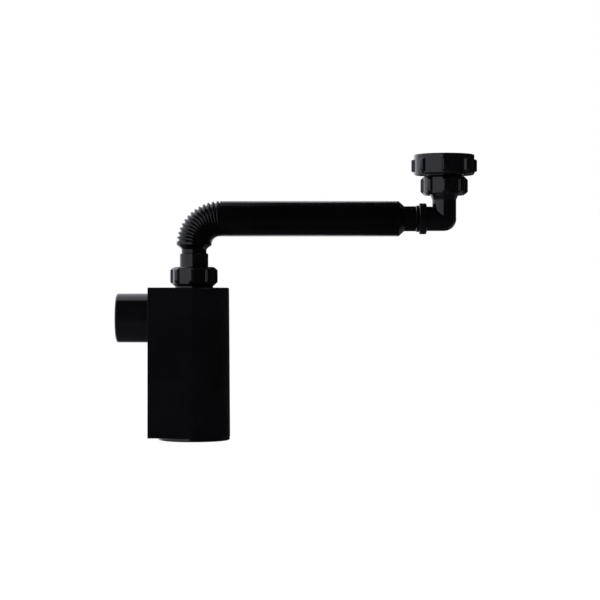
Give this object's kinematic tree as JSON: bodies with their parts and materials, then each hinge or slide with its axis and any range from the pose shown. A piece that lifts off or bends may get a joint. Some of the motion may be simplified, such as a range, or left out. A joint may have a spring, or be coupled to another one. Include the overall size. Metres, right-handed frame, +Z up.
{
  "type": "p trap",
  "caption": "Black space-saving trap: flat-backed housing with round cleaning cap, side outlet spigot, and a bendable corrugated arm ending in an elbow with a union nut.",
  "frame": {"origin": "on the outlet spigot's axis, where it leaves the housing's flat back", "axes": "+X away from the wall, along the corrugated arm; +Z up; Y across, with the trap symmetric about Y = 0"},
  "size_m": [0.3658, 0.0734, 0.2893],
  "materials": {
    "housing_black": "high gloss injection-moulded polypropylene",
    "nut_black": "gloss, moulded grip ribs",
    "fitting_black": "gloss",
    "hose_black": "soft gloss, blow-moulded corrugations",
    "inner_black": "satin",
    "seal_rubber": "matt",
    "ring_polyethylene": "satin, natural polyethylene"
  },
  "bodies": {
    "housing": {"trap_body": "housing_black", "dip_tube": "inner_black"},
    "cap_ring": {"cap_seal": "seal_rubber"},
    "cap": {"cleaning_cap": "housing_black"},
    "trap_slip": {"trap_slip_ring": "ring_polyethylene"},
    "lower_nut": {"trap_nut": "nut_black"},
    "trap_seal": {"trap_cone_seal": "seal_rubber"},
    "tail": {"tail_piece": "fitting_black", "lower_cuff": "hose_black", "hose_bend": "hose_black"},
    "arm": {"hose_run": "hose_black"},
    "arm_end": {"upper_cuff": "hose_black", "lock_ring": "fitting_black"},
    "elbow": {"elbow": "fitting_black", "elbow_seal": "seal_rubber"},
    "inlet_seal": {"inlet_cone_seal": "seal_rubber"},
    "inlet": {"adapter": "fitting_black", "inlet_gasket": "seal_rubber"},
    "inlet_slip": {"inlet_slip_ring": "ring_polyethylene"},
    "small_nut": {"inlet_nut": "nut_black"},
    "large_nut": {"union_nut": "nut_black"}
  },
  "joints": [
    {"name": "cap_travel", "type": "slide", "parent": "housing", "child": "cap_ring", "axis": [0, 0, -1], "range_m": [0, 0.01201]},
    {"name": "cap_turn", "type": "hinge", "parent": "cap_ring", "child": "cap", "pos_m": [0.0444, 0, -0.121], "axis": [0, 0, -1], "range_deg": [0, 1440]},
    {"name": "trap_nut_travel", "type": "slide", "parent": "housing", "child": "trap_slip", "axis": [0, 0, 1], "range_m": [0, 0.01001]},
    {"name": "trap_nut_turn", "type": "hinge", "parent": "trap_slip", "child": "lower_nut", "pos_m": [0.0444, 0, 0.042], "axis": [0, 0, 1], "range_deg": [0, 1440]},
    {"name": "arm_swivel", "type": "hinge", "parent": "housing", "child": "trap_seal", "pos_m": [0.0444, 0, 0.044], "axis": [0, 0, 1], "continuous": true},
    {"name": "arm_height", "type": "slide", "parent": "trap_seal", "child": "tail", "axis": [0, 0, 1], "range_m": [-0.006, 0.008]},
    {"name": "arm_lift", "type": "hinge", "parent": "tail", "child": "arm", "pos_m": [0.058, 0, 0.096], "axis": [0, 1, 0], "range_deg": [-60, 20], "deforming": ["hose_bend"]},
    {"name": "hose_stretch", "type": "slide", "parent": "arm", "child": "arm_end", "axis": [1, 0, 0], "range_m": [0, 0.12], "deforming": ["hose_run"]},
    {"name": "elbow_turn", "type": "hinge", "parent": "arm_end", "child": "elbow", "pos_m": [0.2764, 0, 0.1008], "axis": [1, 0, 0], "continuous": true},
    {"name": "inlet_height", "type": "slide", "parent": "elbow", "child": "inlet_seal", "axis": [0, 0, 1], "range_m": [0, 0.008]},
    {"name": "inlet_swivel", "type": "hinge", "parent": "inlet_seal", "child": "inlet", "pos_m": [0.2985, 0, 0.131], "axis": [0, 0, 1], "continuous": true},
    {"name": "inlet_nut_travel", "type": "slide", "parent": "inlet", "child": "inlet_slip", "axis": [0, 0, -1], "range_m": [0, 0.00751]},
    {"name": "inlet_nut_turn", "type": "hinge", "parent": "inlet_slip", "child": "small_nut", "pos_m": [0.2985, 0, 0.134], "axis": [0, 0, -1], "range_deg": [0, 1080]},
    {"name": "union_nut_turn", "type": "hinge", "parent": "inlet", "child": "large_nut", "pos_m": [0.2985, 0, 0.155], "axis": [0, 0, 1], "continuous": true}
  ],
  "couplings": [
    {"joint": "cap_travel", "follows": "cap_turn", "m_per_rad": 0.00047746},
    {"joint": "trap_nut_travel", "follows": "trap_nut_turn", "m_per_rad": 0.00039789},
    {"joint": "inlet_nut_travel", "follows": "inlet_nut_turn", "m_per_rad": 0.00039789}
  ]
}
